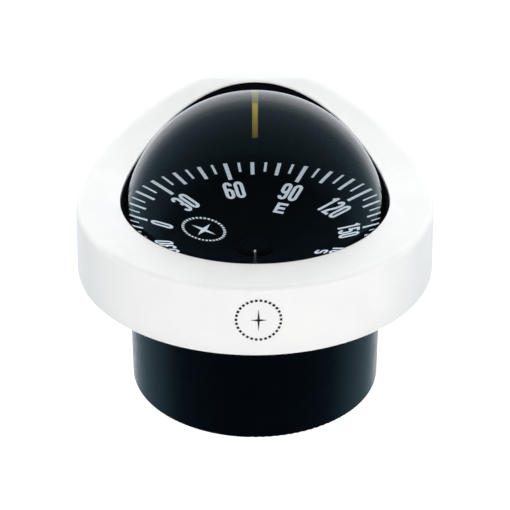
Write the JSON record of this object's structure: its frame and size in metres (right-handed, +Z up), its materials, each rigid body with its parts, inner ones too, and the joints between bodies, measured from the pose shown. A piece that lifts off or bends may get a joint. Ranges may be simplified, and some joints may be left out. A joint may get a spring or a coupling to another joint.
{
  "type": "flush-mount marine compass",
  "caption": "Flush-mount liquid-filled boat compass with a white hooded bezel, clear dome, gimballed card and black body for a round panel cut-out.",
  "frame": {"origin": "centre of the body's flat bottom", "axes": "+Z up along the body's axis; +Y towards the raised hood, ahead of the boat; the near, low side of the bezel faces -Y"},
  "size_m": [0.154, 0.154, 0.1308],
  "materials": {
    "black_satin": "satin black moulded plastic",
    "black_body": "semi-gloss black moulded plastic",
    "white_gloss": "smooth white moulded plastic",
    "emblem_ink": "black inlaid print",
    "clear_dome": "clear acrylic",
    "seal_rubber": "matt rubber",
    "steel": "stainless steel",
    "brass": "turned brass",
    "lead": "cast weight, painted",
    "card_black": "matt black with pale printed marks",
    "float_white": "matt moulded foam-filled float",
    "mark_yellow": "yellow plastic",
    "mark_silver": "satin aluminium",
    "magnet": "ground magnet steel",
    "jewel": "synthetic ruby and brass cup",
    "lamp_red": "red lamp lens"
  },
  "bodies": {
    "housing": {"housing": "black_body", "mounting_gasket": "seal_rubber", "bowl": "black_satin", "dome": "clear_dome", "clamp_ring": "black_satin", "clamp_screw": "steel", "dome_seal": "seal_rubber", "diaphragm": "seal_rubber", "diaphragm_cover": "black_satin", "diaphragm_screw": "steel", "filler_plug": "brass", "filler_seal": "seal_rubber", "gimbal_bush": "brass", "compensator_block": "black_satin", "block_screw": "brass", "shaft_grommet": "seal_rubber", "lamp": "lamp_red", "lamp_holder": "black_satin", "cable_gland": "black_satin", "gland_nut": "black_satin"},
    "hood": {"hood_bezel": "white_gloss", "bezel_emblem": "emblem_ink"},
    "gimbal": {"gimbal_ring": "black_satin"},
    "frame": {"lubber_frame": "black_satin", "pivot_pin": "steel", "counterweight": "lead", "counterweight_screw": "steel", "lubber_mark_fore": "mark_yellow", "lubber_mark_aft": "mark_silver"},
    "card": {"card": "card_black", "card_cap": "black_satin", "card_float": "float_white", "magnet_carrier": "black_satin", "card_magnet": "magnet", "jewel_cup": "jewel"},
    "trim_long": {"compensator_shaft_long": "brass", "compensator_magnet_long": "magnet"},
    "trim_cross": {"compensator_shaft_cross": "brass", "compensator_magnet_cross": "magnet"}
  },
  "joints": [
    {"name": "hood_lift", "type": "slide", "parent": "housing", "child": "hood", "axis": [0, 0, 1], "range_m": [0, 0.08]},
    {"name": "gimbal_pitch", "type": "hinge", "parent": "housing", "child": "gimbal", "pos_m": [0, 0, 0.066], "axis": [1, 0, 0], "range_deg": [-20, 20]},
    {"name": "gimbal_roll", "type": "hinge", "parent": "gimbal", "child": "frame", "pos_m": [0, 0, 0.066], "axis": [0, 1, 0], "range_deg": [-20, 20]},
    {"name": "card_turn", "type": "hinge", "parent": "frame", "child": "card", "pos_m": [0, 0, 0.066], "axis": [0, 0, 1], "continuous": true},
    {"name": "trim_long_turn", "type": "hinge", "parent": "housing", "child": "trim_long", "pos_m": [0, 0, 0.0072], "axis": [0, 1, 0], "continuous": true},
    {"name": "trim_cross_turn", "type": "hinge", "parent": "housing", "child": "trim_cross", "pos_m": [0, 0, 0.0132], "axis": [1, 0, 0], "continuous": true}
  ]
}
